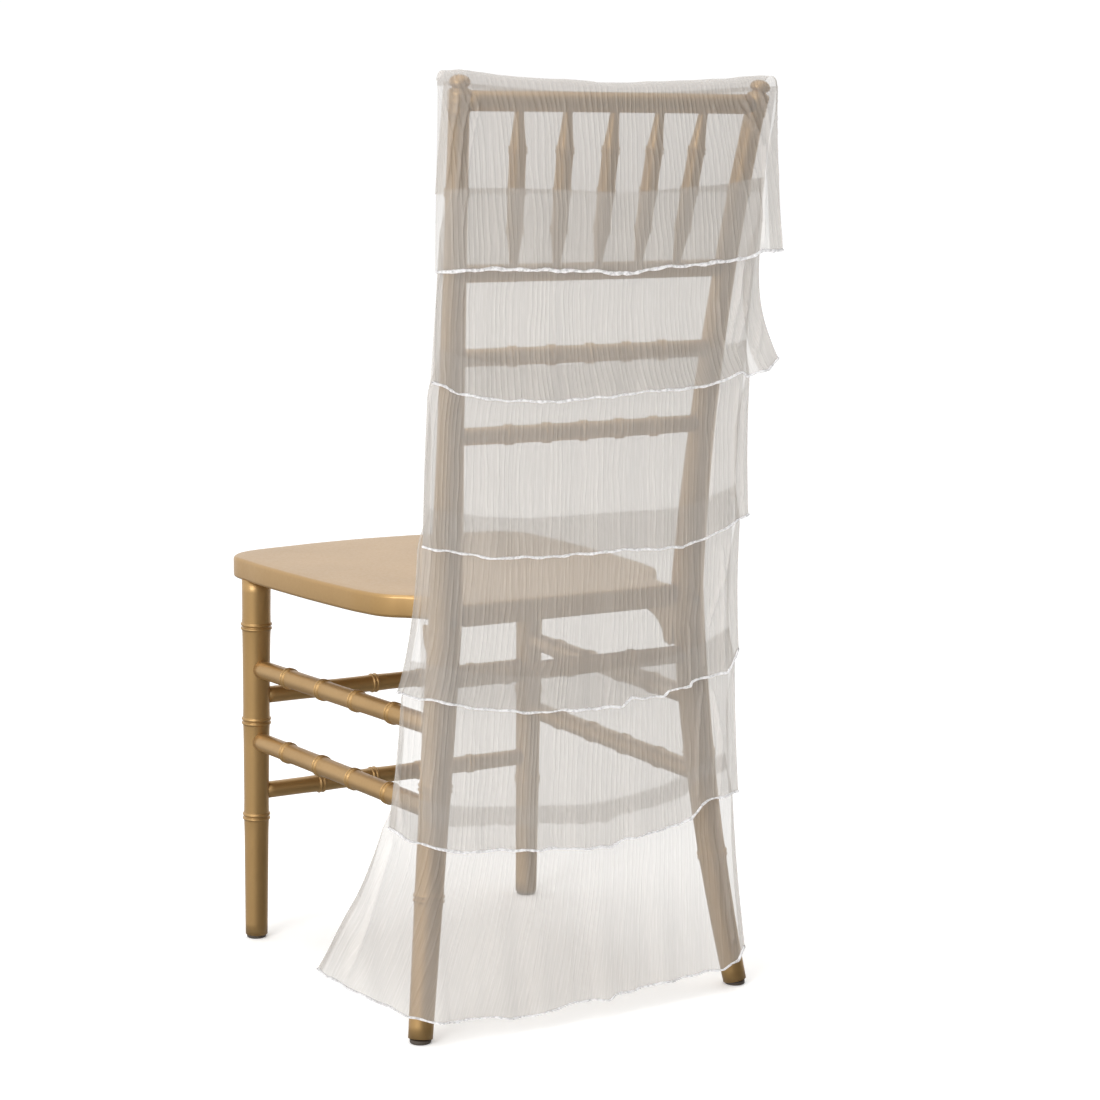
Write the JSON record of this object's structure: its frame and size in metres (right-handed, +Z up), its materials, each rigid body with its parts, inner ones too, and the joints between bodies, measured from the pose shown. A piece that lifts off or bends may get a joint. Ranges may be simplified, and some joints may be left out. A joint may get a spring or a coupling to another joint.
{
  "type": "chiavari chair with tiered sheer back cover",
  "caption": "Gold ballroom chair with a sheer tiered cover hung over its slatted back, for dressing seating at events.",
  "frame": {"origin": "bottom centre of the box round the whole, on the floor under the seat", "axes": "+Z up, the chair faces -Y, the sitter's left hand is at +X"},
  "size_m": [0.514, 0.544, 0.9252],
  "materials": {
    "sheer_cloth": "sheer crinkled organza, off-white",
    "gold_paint": "satin gold paint on turned wood",
    "dark_plastic": "matte",
    "dark_metal": "matte"
  },
  "bodies": {
    "root": {"cover_front_panel": "sheer_cloth", "cover_lining": "sheer_cloth", "cover_tier_1": "sheer_cloth", "cover_tier_2": "sheer_cloth", "cover_tier_3": "sheer_cloth", "cover_tier_4": "sheer_cloth", "cover_tier_5": "sheer_cloth", "cover_tier_6": "sheer_cloth", "back_post_left": "gold_paint", "back_post_right": "gold_paint", "front_leg_left": "gold_paint", "front_leg_right": "gold_paint", "top_rail": "gold_paint", "back_rail_1": "gold_paint", "back_rail_2": "gold_paint", "back_rail_3": "gold_paint", "spindle_1": "gold_paint", "spindle_2": "gold_paint", "spindle_3": "gold_paint", "spindle_4": "gold_paint", "spindle_5": "gold_paint", "seat": "gold_paint", "seat_bracket_left": "gold_paint", "seat_bracket_right": "gold_paint", "side_stretcher_left_1": "gold_paint", "side_stretcher_left_2": "gold_paint", "side_stretcher_right_1": "gold_paint", "side_stretcher_right_2": "gold_paint", "front_stretcher_1": "gold_paint", "front_stretcher_2": "gold_paint", "rear_stretcher": "gold_paint", "glide_back_left": "dark_plastic", "glide_back_right": "dark_plastic", "glide_front_left": "dark_plastic", "glide_front_right": "dark_plastic", "seat_screw_left": "dark_metal", "seat_screw_right": "dark_metal"}
  },
  "joints": []
}
